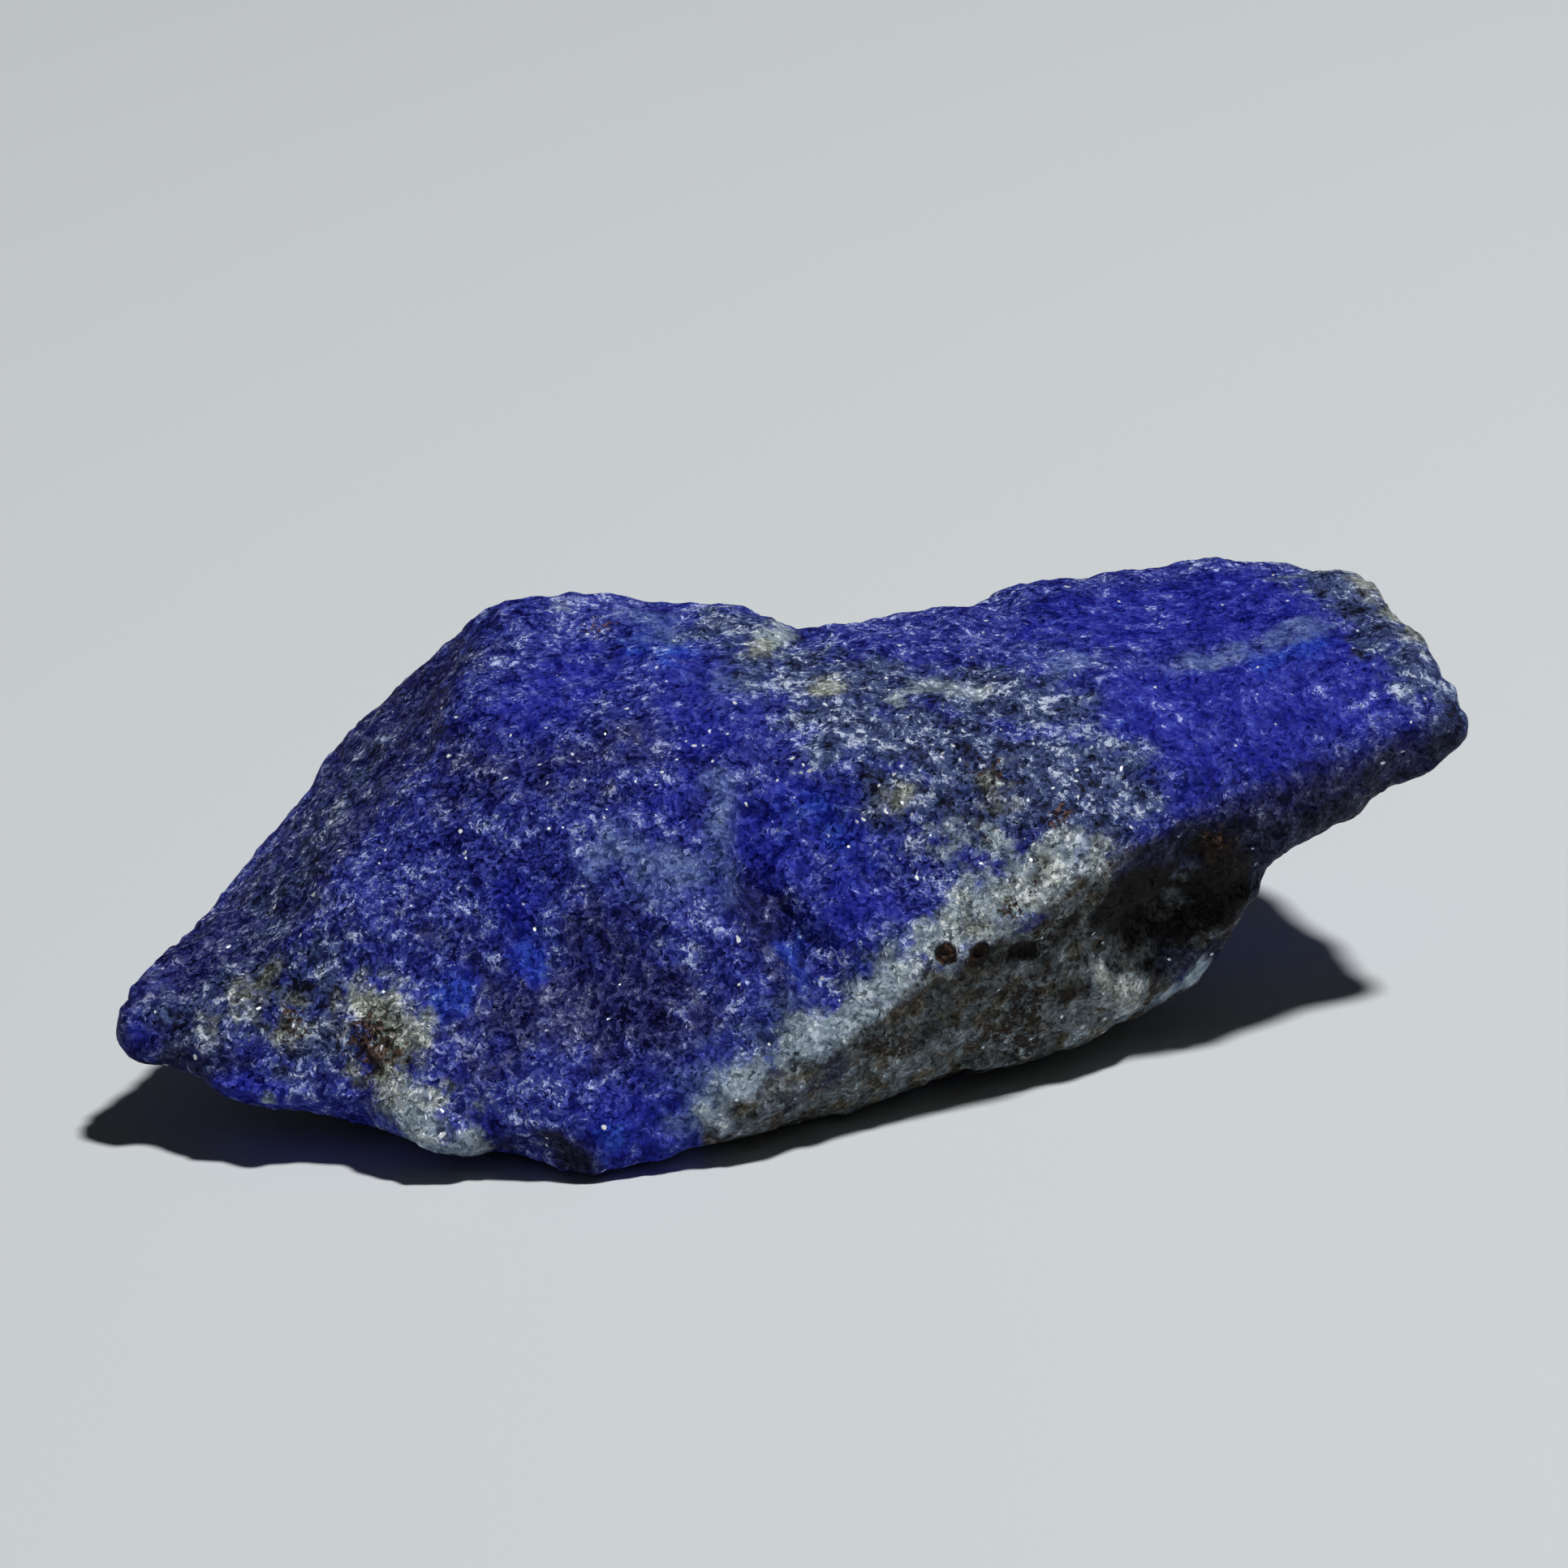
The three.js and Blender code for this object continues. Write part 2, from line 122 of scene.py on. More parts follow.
stone_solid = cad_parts["lapis_lazuli_stone"]
bpy.ops.object.select_all(action="DESELECT")
stone = bpy.data.objects.new("rough_lapis", stone_solid.data.copy())
bpy.context.collection.objects.link(stone)
bpy.context.view_layer.objects.active = stone
stone.select_set(True)
bpy.ops.object.mode_set(mode="EDIT")
bpy.ops.mesh.select_all(action="SELECT")
bpy.ops.mesh.remove_doubles(threshold=SAME_PLACE)
bpy.ops.object.mode_set(mode="OBJECT")


def apply_modifier(piece, kind, **settings):
    """Adds one modifier to a piece and applies it."""
    modifier = piece.modifiers.new(kind.lower(), kind)
    for name, value in settings.items():
        setattr(modifier, name, value)
    bpy.ops.object.modifier_apply(modifier=modifier.name)


def skin_places(piece):
    """The piece's vertices in millimetres, one row each."""
    flat = np.empty(len(piece.data.vertices) * 3)
    piece.data.vertices.foreach_get("co", flat)
    return flat.reshape(-1, 3) / MM


def skin_normals(piece):
    """The outward direction at each vertex."""
    flat = np.empty(len(piece.data.vertices) * 3)
    piece.data.vertices.foreach_get("normal", flat)
    return flat.reshape(-1, 3)


def move_skin(piece, places):
    """Puts the piece's vertices at new places, in millimetres."""
    piece.data.vertices.foreach_set("co", (places * MM).ravel())
    piece.data.update()


def ramp(value, low, high):
    """0 under low, 1 over high, and smooth between."""
    share = np.clip((value - low) / (high - low), 0.0, 1.0)
    return share * share * (3.0 - 2.0 * share)


def along(places, path, reach):
    """1 on a path of places, falling evenly to 0 at its reach."""
    path = np.array(path, float).reshape(-1, 3)
    ends = list(zip(path[:-1], path[1:])) or [(path[0], path[0])]
    nearest = np.full(len(places), np.inf)
    for start, end in ends:
        run = end - start
        share = np.clip((places - start) @ run / max(run @ run, 1e-9), 0.0, 1.0)
        nearest = np.minimum(nearest, np.linalg.norm(places - start - share[:, None] * run, axis=1))
    return np.clip(1.0 - nearest / reach, 0.0, 1.0)


apply_modifier(stone, "SUBSURF", levels=FINE_LEVELS, render_levels=FINE_LEVELS)

# The foot that the stone stands on stays ground flat.
above_base = ramp(skin_places(stone)[:, 2], 0.0, FLAT_BASE_MM)
rough_group = stone.vertex_groups.new(name="rough")
for index, share in enumerate(above_base):
    rough_group.add([index], share, "REPLACE")

# Each break texture has a grain size and a depth, from blunt chips to sugary grains.
BREAKS = {
    "chips": ("VORONOI", 2.6, 0.30),
    "dents": ("CLOUDS", 1.1, 0.24),
    "grains": ("VORONOI", 0.62, 0.17),
}
for name, (kind, grain, depth) in BREAKS.items():
    texture = bpy.data.textures.new(name, kind)
    texture.noise_scale = grain * MM
    apply_modifier(
        stone, "DISPLACE", texture=texture, texture_coords="LOCAL", direction="NORMAL",
        strength=depth * MM, mid_level=BREAK_MIDDLE, vertex_group="rough",
    )

# Dents and lumps that this piece has: where, how far each reaches, and how far the skin moves out.
MARKS = [
    ([(-21.8, -8.0, 3.0)], 0.9, -0.45),
    ([(-23.0, -6.9, 4.0), (-22.6, -7.4, 3.6)], 1.6, 0.35),
    ([(-22.5, -7.1, 4.4)], 0.35, -0.25),
    ([(-20.9, -7.2, 4.7)], 0.35, -0.25),
    ([(-19.3, -9.7, 2.7)], 0.9, -0.30),
    ([(-18.1, -10.0, 2.5)], 0.9, 0.25),
    ([(-2.3, -6.3, 10.6), (-2.2, -7.4, 9.2)], 0.9, 0.32),
    ([(-1.6, -6.4, 10.4), (-1.5, -7.5, 9.0)], 0.8, -0.42),
    ([(-1.3, -7.8, 8.4), (-0.4, -8.9, 7.2), (0.3, -9.3, 6.4), (0.5, -9.9, 5.6)], 1.3, -0.6),
    ([(-4.5, -8.6, 8.0), (-3.2, -9.0, 7.4)], 2.2, 0.30),
    ([(4.7, -9.2, 6.1)], 0.42, -0.25),
    ([(5.8, -8.9, 5.9)], 0.42, -0.25),
    ([(7.0, -8.3, 5.6), (7.8, -7.9, 5.6)], 0.5, -0.25),
    ([(-9.6, -12.5, 0.9), (-8.8, -12.6, 0.9)], 1.1, -0.40),
    ([(9.9, -6.2, 3.6), (11.0, -5.1, 2.5)], 1.2, 0.25),
    ([(11.6, -5.3, 5.4), (13.2, -4.6, 5.2)], 1.5, -0.45),
    ([(11.2, -5.6, 6.6), (11.9, -5.3, 6.2)], 0.9, 0.35),
    ([(12.9, -4.9, 6.5)], 0.8, 0.35),
    ([(12.2, -4.6, 5.2)], 0.7, 0.35),
    ([(13.9, -4.4, 5.4)], 0.7, 0.30),
    ([(15.6, -3.9, 6.3), (16.2, -2.6, 6.4)], 1.3, -0.55),
]
skin = skin_places(stone)
out = skin_normals(stone)
for path, reach, rise in MARKS:
    skin += out * (rise * ramp(along(skin, path, reach), 0.0, 1.0))[:, None]
move_skin(stone, skin)

skin = skin_places(stone)
skin[:, 2] = np.maximum(skin[:, 2], 0.0)
move_skin(stone, skin)
bpy.ops.object.shade_smooth()


# ---- What the rock is made of ----
# Lazurite, calcite and the rest grew together in patches and bands. Each mineral's share is kept on the
# skin as an attribute, 0 where there is none, and so are the painted shade and where painted glints
# crowd. The patches are places in millimetres, or bands through several places, with how far each one
# reaches and how rich it is in the middle.

# White and bluish calcite, in a band under the ridge and at the foot.
CALCITE = [
    ([(-3.3, -12.3, 2.4), (-1.6, -11.6, 3.4), (0.0, -11.1, 4.1)], 1.4, 0.65),
    ([(-2.8, -12.5, 1.3), (-1.2, -12.0, 2.2)], 1.1, 0.4),
    ([(-0.5, -11.0, 4.1), (1.3, -10.3, 4.8), (3.3, -9.6, 5.8), (4.5, -9.1, 6.5)], 1.25, 0.9),
    ([(4.5, -9.1, 6.5), (5.9, -8.4, 7.4), (7.6, -8.0, 8.1)], 1.5, 1.2),
    ([(7.8, -7.9, 8.2), (9.3, -7.3, 8.8)], 1.5, 1.1),
    ([(-13.9, -11.4, 2.7), (-12.8, -12.1, 2.1), (-12.1, -12.5, 1.6)], 2.2, 0.8),
    ([(-14.5, -8.9, 5.5), (-13.5, -9.9, 4.9)], 1.6, 0.8),
    ([(-14.6, -10.5, 3.2), (-14.3, -10.8, 3.2)], 1.1, 0.9),
    ([(-18.1, -10.0, 2.5)], 0.5, 0.7),
    ([(3.7, -1.5, 12.6), (5.0, -0.8, 12.7), (6.2, -1.0, 12.6)], 1.0, 0.7),
    ([(9.9, -6.2, 3.6), (11.0, -5.1, 2.5)], 1.3, 0.8),
    ([(-0.9, 1.6, 13.6), (0.0, 4.2, 13.5)], 1.0, 0.6),
    ([(-7.7, 5.4, 14.4)], 0.9, 0.6),
    ([(4.5, -7.2, 9.8), (6.5, -7.2, 9.2)], 1.3, 0.6),
    ([(13.6, -3.3, 2.6), (12.4, -3.6, 2.0)], 1.0, 0.7),
    ([(-15.6, 6.0, 3.6), (-10.0, 8.9, 6.4), (-4.0, 9.6, 7.2), (2.0, 9.8, 8.6)], 1.7, 0.85),
    ([(2.0, 9.8, 8.6), (7.0, 11.2, 8.2), (11.0, 12.2, 9.0)], 1.3, 0.9),
    ([(-19.4, 0.6, 4.2), (-17.5, 3.6, 7.2)], 1.6, 0.8),
]
# Salt-and-pepper grains of calcite and lazurite together.
GREY = [
    ([(-1.5, 3.5, 13.5), (0.7, -0.7, 13.1), (3.5, -0.9, 12.7)], 3.0, 1.0),
    ([(3.5, -0.9, 12.7), (6.2, -1.0, 12.6), (8.9, -2.5, 12.1)], 3.0, 1.0),
    ([(2.0, -3.4, 12.2), (4.7, -4.2, 11.8), (7.4, -5.2, 11.1), (10.1, -5.1, 10.6)], 3.4, 1.1),
    ([(3.3, -5.8, 10.8), (5.9, -6.4, 10.1), (8.6, -6.3, 10.0), (9.9, -6.6, 9.1)], 2.6, 1.0),
    ([(6.2, -8.6, 7.0), (9.6, -7.1, 8.9)], 2.6, 0.8),
    ([(-16.2, -7.8, 6.0), (-18.4, -6.8, 5.7), (-19.6, -7.8, 4.7)], 2.6, 0.8),
    ([(-17.4, -8.5, 4.7), (-14.7, -9.6, 4.4)], 2.6, 0.85),
    ([(-18.4, -4.6, 7.0), (-16.1, -1.9, 9.2), (-14.6, 1.4, 10.6)], 2.4, 0.62),
    ([(19.3, 7.9, 13.3), (20.4, 5.3, 13.1), (21.4, 3.4, 12.7), (22.3, 1.2, 11.7)], 3.2, 1.2),
    ([(22.6, 0.0, 10.8), (22.8, -0.5, 10.0)], 2.0, 0.8),
    ([(-1.5, -11.3, 3.8), (3.0, -9.4, 6.0)], 2.0, 0.7),
    ([(-21.7, -6.4, 4.9), (-20.8, -7.6, 4.3)], 1.6, 0.5),
    ([(-15.6, 6.0, 3.6), (-10.0, 8.9, 6.4), (-4.0, 9.6, 7.2)], 3.4, 0.9),
    ([(-4.0, 9.6, 7.2), (2.0, 9.8, 8.6), (11.0, 12.2, 9.0)], 3.4, 0.9),
    ([(-12.0, 7.5, 11.2), (-6.0, 8.0, 12.4)], 2.4, 0.7),
    ([(19.6, 10.1, 10.8), (16.0, 11.6, 12.0)], 2.6, 0.9),
    ([(12.7, -4.0, 3.0), (13.8, -2.8, 2.0)], 2.0, 0.8),
]
# Calcite stained cream.
BEIGE = [
    ([(-14.7, -9.0, 5.2), (-13.7, -9.9, 4.6), (-14.6, -10.4, 3.4)], 1.8, 0.85),
    ([(-18.4, -6.8, 5.7), (-19.6, -7.8, 4.7)], 1.6, 0.5),
    ([(-17.4, -8.5, 4.7)], 1.4, 0.7),
    ([(-12.2, -11.7, 3.0)], 1.5, 0.5),
    ([(1.2, -0.9, 13.0)], 1.2, 0.55),
    ([(-0.9, 1.6, 13.6)], 1.2, 0.8),
    ([(3.4, -6.1, 10.6)], 1.2, 0.7),
    ([(5.6, -8.5, 7.2), (7.0, -8.2, 7.7), (8.6, -7.7, 8.4), (9.8, -7.1, 8.8)], 1.6, 0.55),
    ([(20.0, 8.4, 13.2), (21.3, 5.4, 12.9), (22.0, 2.6, 12.2)], 1.6, 0.6),
    ([(6.8, -5.6, 10.8)], 1.6, 0.6),
    ([(9.9, -6.2, 3.6), (11.0, -5.1, 2.5)], 1.3, 0.7),
    ([(-8.0, 9.4, 6.8), (-5.0, 9.6, 6.6)], 2.2, 0.8),
    ([(8.0, 11.6, 8.0)], 1.8, 0.8),
    ([(-18.4, 2.2, 6.0)], 1.6, 0.7),
]
# Thin pale skins of calcite that the blue shows through.
PALE = [
    ([(13.4, 0.6, 12.6), (14.8, 1.2, 12.7), (16.5, 2.0, 12.8), (18.5, 3.0, 13.0)], 0.9, 0.95),
    ([(-6.4, -7.2, 9.8), (-4.8, -7.8, 9.1), (-3.2, -8.0, 8.8)], 1.6, 0.8),
    ([(-2.6, -5.4, 11.2), (-2.6, -6.8, 9.9), (-2.7, -7.6, 9.0)], 0.9, 0.8),
    ([(-5.1, 4.3, 13.8), (-4.3, 3.4, 13.7)], 2.0, 0.6),
    ([(8.3, 1.3, 12.9), (9.8, 0.2, 12.7)], 1.6, 0.7),
    ([(-1.5, 0.5, 13.4), (-2.5, -1.5, 13.0)], 2.0, 0.4),
    ([(-3.4, -12.2, 2.6), (-1.6, -11.6, 3.4), (-0.6, -11.2, 4.2)], 2.2, 1.1),
    ([(0.4, -10.9, 4.4), (1.8, -10.2, 5.2), (3.2, -9.6, 6.0)], 1.5, 1.1),
]
# Small clear spots of brighter, greener blue.
AZURE = [
    ([(-12.1, -9.4, 5.7)], 1.3, 0.9),
    ([(-9.0, -8.8, 6.8)], 1.2, 0.8),
    ([(-4.8, 3.4, 13.7), (-4.1, 1.8, 13.7)], 2.2, 0.8),
    ([(-6.4, -12.8, 1.4)], 1.3, 0.9),
    ([(8.4, 1.3, 12.9)], 1.2, 0.8),
    ([(18.3, 1.8, 12.7), (16.4, 0.8, 12.5)], 1.1, 0.75),
    ([(0.3, -9.6, 5.3), (-0.2, -8.8, 6.8)], 1.1, 0.8),
    ([(11.2, -3.2, 11.6)], 0.9, 0.6),
    ([(0.4, -6.4, 10.1), (1.6, -7.0, 9.4)], 1.8, 0.5),
    ([(3.0, 8.9, 9.6)], 2.0, 0.8),
    ([(-14.0, 7.0, 9.4)], 1.8, 0.8),
]
# Lazurite mixed with dark grains; on the slab's downward side the same dark tones are painted shade.
NAVY = [
    ([(-9.6, -10.1, 5.4), (-8.0, -9.8, 5.7), (-6.4, -10.3, 5.2), (-4.8, -10.6, 5.0)], 3.0, 1.0),
    ([(-7.4, -8.8, 7.4), (-6.0, -9.3, 6.8)], 2.4, 0.7),
    ([(-12.5, -8.0, 7.5), (-11.0, -11.0, 3.5)], 2.4, 0.5),
    ([(-20.0, -5.0, 6.2), (-16.1, -1.9, 9.2), (-15.0, 0.4, 10.1), (-13.4, 3.8, 11.5)], 4.2, 1.5),
    ([(-14.0, -3.0, 10.8), (-11.0, 3.5, 13.2)], 2.4, 0.8),
    ([(-11.0, -3.5, 11.6), (-7.5, -4.5, 12.2), (-4.0, -3.0, 12.8)], 3.6, 0.62),
    ([(-1.5, -7.8, 8.3), (-1.1, -8.4, 7.5), (-0.1, -9.7, 5.4)], 1.5, 1.3),
    ([(1.0, -6.8, 9.6), (3.0, -7.8, 8.4)], 1.4, 0.7),
    ([(-23.0, -6.4, 4.2), (-21.7, -6.4, 4.9), (-20.8, -7.6, 4.3), (-19.8, -9.4, 3.2)], 2.6, 1.0),
    # On the slab's downward side: painted shade.
    ([(13.2, -4.9, 7.4), (15.8, -4.3, 8.3), (18.4, -2.7, 8.7), (22.6, -0.9, 9.4)], 2.2, 1.8),
    ([(15.2, -4.4, 7.1), (17.5, -2.0, 7.6), (21.0, 1.0, 8.4)], 3.0, 1.8),
    ([(-5.0, -12.9, 0.6), (-9.0, -12.8, 0.6)], 1.6, 0.7),
    ([(13.4, -3.2, 3.2), (14.4, -2.6, 2.6)], 1.8, 0.9),
    ([(-8.0, 9.3, 3.0), (0.0, 9.0, 4.0)], 3.4, 0.9),
    ([(4.0, 9.0, 11.2), (10.0, 10.6, 11.6)], 2.6, 0.7),
    ([(-16.0, 5.5, 8.0), (-13.0, 7.2, 9.8)], 2.8, 0.8),
]
# The purest lazurite.
ROYAL = [
    ([(-1.2, -6.3, 10.2), (-1.0, -7.4, 9.0)], 1.4, 1.4),
    ([(-0.2, -6.3, 10.1), (1.8, -6.6, 9.8)], 2.4, 1.2),
    ([(1.7, -7.8, 8.2), (1.6, -9.0, 6.6)], 2.4, 0.8),
    ([(12.5, -2.5, 11.9), (16.0, -1.0, 11.8), (19.0, 0.5, 12.0)], 5.0, 1.1),
    ([(17.0, 5.5, 13.2), (12.0, 4.0, 13.0)], 5.0, 1.1),
    ([(-4.4, -12.3, 2.1), (-6.3, -12.9, 1.5)], 2.6, 1.0),
    ([(-19.3, -9.7, 2.4), (-17.5, -10.8, 1.9), (-15.5, -11.6, 1.6)], 1.6, 1.1),
    ([(13.6, -5.0, 7.4)], 1.2, 0.8),
    ([(-11.9, -9.5, 6.0)], 1.5, 0.9),
    ([(-9.5, -8.0, 8.3), (-9.3, -9.0, 6.8)], 1.6, 0.8),
    ([(-3.0, -3.0, 12.6), (-3.4, 0.0, 13.3)], 2.6, 0.8),
    ([(-4.0, -6.0, 11.0)], 2.2, 0.6),
    ([(-9.0, -2.0, 13.0), (-7.0, 1.0, 13.8)], 3.0, 0.7),
    ([(-22.8, -6.9, 4.0)], 1.4, 0.6),
    ([(-1.0, 9.0, 10.6), (-7.0, 9.0, 10.0)], 2.6, 0.9),
    ([(5.0, 10.4, 5.6), (13.0, 11.8, 6.8)], 2.8, 0.9),
]
# Weathered grey-brown rock, on the face under the ridge and underneath.
GRIMY = [
    ([(0.6, -11.0, 2.0), (2.4, -10.0, 3.0), (4.8, -9.0, 3.8)], 2.7, 1.8),
    ([(4.8, -9.0, 3.8), (7.3, -7.8, 4.3), (9.5, -6.8, 5.2)], 2.9, 1.8),
    ([(8.8, -7.4, 6.2), (10.0, -6.6, 7.2), (11.3, -5.9, 7.6)], 1.6, 1.5),
    ([(8.2, -8.2, 7.4), (9.4, -7.7, 7.8)], 0.8, 1.2),
    ([(11.3, -4.9, 4.4), (14.1, -4.2, 5.3)], 3.4, 1.6),
    ([(-1.6, -11.8, 0.9), (0.4, -11.2, 1.4), (3.0, -9.6, 1.8)], 1.7, 1.2),
    ([(-1.0, -11.4, 0.6), (4.5, -9.0, 0.6), (9.0, -6.5, 0.8), (11.0, -4.8, 1.2)], 3.4, 2.2),
    ([(11.0, -1.0, 1.4), (14.5, 0.5, 4.0), (18.0, 2.0, 6.6), (20.5, 3.0, 8.0)], 4.2, 1.5),
    ([(-18.5, -3.5, 1.6), (-14.0, -4.6, 0.6), (-6.0, -5.0, 0.3), (3.0, -3.0, 0.2)], 3.6, 1.4),
    ([(2.0, 8.4, 1.8), (8.0, 9.6, 2.8), (13.0, 10.4, 4.4), (17.0, 9.3, 6.0)], 3.4, 1.1),
]
# Painted shade, mixed with dark rock that has little blue in it: on the slab's edge, under the foot and
# in hollows.
PAINTED_SHADE = [
    ([(10.9, -6.2, 7.7), (12.2, -5.6, 7.9), (13.6, -5.0, 7.9)], 1.4, 1.2),
    ([(-2.6, -12.2, 1.2), (-0.6, -11.6, 1.9), (1.0, -10.9, 2.6)], 1.4, 0.55),
    ([(12.4, -4.2, 3.6), (13.4, -3.4, 3.2), (14.2, -2.8, 2.8)], 1.6, 0.9),
    ([(13.4, -5.0, 7.4), (15.8, -4.4, 8.1), (18.4, -2.8, 8.5), (22.6, -1.0, 9.2)], 2.2, 0.75),
    ([(15.2, -4.4, 6.6), (17.5, -2.0, 7.0), (21.0, 1.0, 7.8)], 3.0, 1.7),
    ([(-22.6, -6.2, 3.4), (-20.6, -7.6, 2.8)], 1.4, 0.8),
    ([(-14.6, -11.0, 0.9), (-11.0, -12.0, 0.8), (-9.2, -12.5, 1.0), (-7.8, -12.7, 0.7)], 1.3, 1.0),
]
# Near-black: painted shade filling the deep hollow, and the small dark pits, whose black is partly their
# own colour and partly painted shade.
PITS_AND_PAINTED_SHADE = [
    ([(10.9, -5.8, 6.4), (12.6, -4.7, 5.4), (14.1, -4.4, 5.9)], 2.2, 1.4),
    ([(12.7, -3.7, 4.3), (11.3, -4.7, 4.9)], 1.2, 0.9),
    ([(13.4, -5.0, 7.6), (14.4, -4.7, 8.2)], 1.3, 0.7),
    ([(4.7, -9.1, 6.1)], 0.55, 1.8),
    ([(5.8, -8.8, 5.9)], 0.55, 1.8),
    ([(7.1, -8.2, 5.6), (7.7, -7.9, 5.6)], 0.5, 1.5),
    ([(8.8, -7.4, 6.3)], 1.0, 0.8),
    ([(-17.4, -8.5, 4.7)], 0.8, 0.7),
    ([(-16.4, -7.7, 5.6)], 0.5, 0.8),
]
# Rusted pyrite.
RUST = [
    ([(-14.7, -9.6, 4.4), (-14.4, -9.8, 4.1)], 1.6, 1.0),
    ([(-17.4, -8.5, 4.7)], 1.2, 0.8),
    ([(8.8, -6.5, 9.8)], 0.8, 0.9),
    ([(6.2, -7.0, 9.5)], 0.7, 0.8),
    ([(6.6, -5.2, 11.0)], 1.2, 0.6),
    ([(4.7, -9.2, 6.1)], 0.62, 1.2),
    ([(5.8, -8.9, 5.9)], 0.62, 1.2),
    ([(7.0, -8.3, 5.6), (7.8, -7.9, 5.6)], 0.6, 1.0),
    ([(2.3, -10.0, 3.3), (3.1, -9.5, 2.9)], 1.0, 0.8),
    ([(7.3, -7.6, 3.4), (6.8, -7.5, 2.5), (7.5, -6.8, 1.8)], 1.8, 0.7),
    ([(7.8, -8.0, 8.0)], 0.7, 0.9),
    ([(7.0, -8.3, 7.4)], 0.7, 0.9),
    ([(8.4, -7.9, 6.4)], 1.2, 0.8),
    ([(14.1, -4.9, 7.6)], 1.2, 0.9),
    ([(-7.0, 9.5, 6.8), (-5.6, 9.6, 6.5)], 1.4, 0.9),
    ([(8.4, 11.6, 8.2)], 1.2, 1.0),
    ([(-18.6, 2.0, 5.8)], 1.0, 0.9),
    ([(-6.6, 3.9, 13.8)], 1.0, 0.6),
]
# Where the painted glints of cleaved grains crowd together.
SPARKLING = [
    ([(-0.2, -5.3, 11.4)], 1.1, 1.0),
    ([(0.9, -6.0, 10.8)], 0.7, 0.9),
    ([(3.7, -6.1, 10.5)], 0.9, 1.0),
    ([(8.3, -6.3, 10.0), (10.9, -4.7, 10.6)], 0.9, 0.8),
    ([(-7.8, -4.1, 12.1)], 0.9, 0.9),
    ([(3.8, 0.1, 12.9)], 0.9, 0.9),
    ([(5.4, -3.6, 12.0)], 1.1, 0.7),
    ([(-12.4, -12.2, 2.0), (-11.6, -12.0, 2.2)], 1.0, 0.9),
    ([(-18.9, -9.2, 2.9)], 0.8, 0.6),
    ([(-9.9, -7.7, 8.3)], 1.2, 0.6),
    ([(6.6, -7.9, 8.0), (7.4, -7.4, 8.7)], 1.2, 0.9),
    ([(-13.9, -9.8, 4.6)], 0.8, 0.6),
    ([(-5.5, -6.4, 10.5), (-3.2, -3.6, 12.4)], 1.0, 0.5),
    ([(1.8, -2.5, 12.5)], 1.0, 0.6),
]
MINERALS_AND_PAINTED_LIGHT = {
    "calcite": CALCITE, "grey": GREY, "beige": BEIGE, "pale": PALE, "azure": AZURE, "navy": NAVY,
    "royal": ROYAL, "grimy": GRIMY, "painted_shade": PAINTED_SHADE, "pits_and_painted_shade": PITS_AND_PAINTED_SHADE, "rust": RUST,
    "sparkling": SPARKLING,
}

skin = skin_places(stone)
for layer_name, patches in MINERALS_AND_PAINTED_LIGHT.items():
    share = np.zeros(len(skin))
    for path, reach, richness in patches:
        share = np.maximum(share, richness * along(skin, path, reach))
    attribute = stone.data.attributes.new(layer_name, "FLOAT", "POINT")
    attribute.data.foreach_set("value", share.astype(np.float32))


# ---- The stone's finish ----
# A matt granular break. Every mineral, and the painted shade, has its own run of tones, from its dark
# grains to its pale ones, and one grain pattern picks the tone, so that the grain goes on unbroken from
# one patch to the next.
SHEEN = 0.08
CURLS_PER_MM = 1.7
CURL_PULL = 0.5
ASIDE_MM = (7.3, 2.9, 5.1)
DRIFTS_PER_MM = 0.30
PATCHES_PER_MM = 0.9
MOTTLES_PER_MM = 1.7
JAGS_PER_MM = 8.5
JAG_PULL = 0.16
FLAKES_PER_MM = 7.6
CHIPS_PER_MM = 2.1
WISPS_PER_MM = 3.4
WISP_WIDTH = 0.055
GRITS_PER_MM = 17.0
RAGGED_PER_MM = 0.9
MASK_MIDDLE = 0.42

stone_finish = bpy.data.materials.new("lapis")
stone_finish.use_nodes = True
tree = stone_finish.node_tree
shader = tree.nodes["Principled BSDF"]
shader.inputs["Specular IOR Level"].default_value = SHEEN


def put(socket, value):
    """Joins a node's output to an input, or sets the input to a plain value."""
    if isinstance(value, bpy.types.NodeSocket):
        socket.id_data.links.new(value, socket)
    else:
        socket.default_value = value


def node(tree, kind, settings=None, **values):
    """Adds a node. Its inputs are named in values, in lower case with _ for a space, or by number."""
    made = tree.nodes.new("ShaderNode" + kind)
    for name, value in (settings or {}).items():
        setattr(made, name, value)
    for name, value in values.items():
        if name[0] == "_":
            put(made.inputs[int(name[1:])], value)
            continue
        for socket in made.inputs:
            if socket.enabled and socket.name.lower().replace(" ", "_") == name:
                put(socket, value)
    return made


def maths(operation, one, other=0.0, third=0.0, clamp=False):
    """One arithmetic step on numbers."""
    settings = {"operation": operation, "use_clamp": clamp}
    return node(tree, "Math", settings, _0=one, _1=other, _2=third).outputs[0]


def total(start, *parts):
    """A start number plus each (value, weight)."""
    for value, weight in parts:
        start = maths("MULTIPLY_ADD", value, weight, start)
    return start


def shift(operation, one, other):
    """One arithmetic step on vectors."""
    made = node(tree, "VectorMath", {"operation": operation}, _0=one)
    put(made.inputs["Scale"] if operation == "SCALE" else made.inputs[1], other)
    return made.outputs[0]


def step(value, low, high):
    """0 under low, 1 over high, smooth between."""
    settings = {"interpolation_type": "SMOOTHSTEP"}
    made = node(tree, "MapRange", settings, value=value, from_min=low, from_max=high)
    return made.outputs["Result"]


def between(share, under, over):
    """A colour mixed from two."""
    made = node(tree, "Mix", {"data_type": "RGBA"}, _0=share)
    put(made.inputs[6], under if isinstance(under, bpy.types.NodeSocket) else (*under, 1.0))
    put(made.inputs[7], over if isinstance(over, bpy.types.NodeSocket) else (*over, 1.0))
    return made.outputs[2]


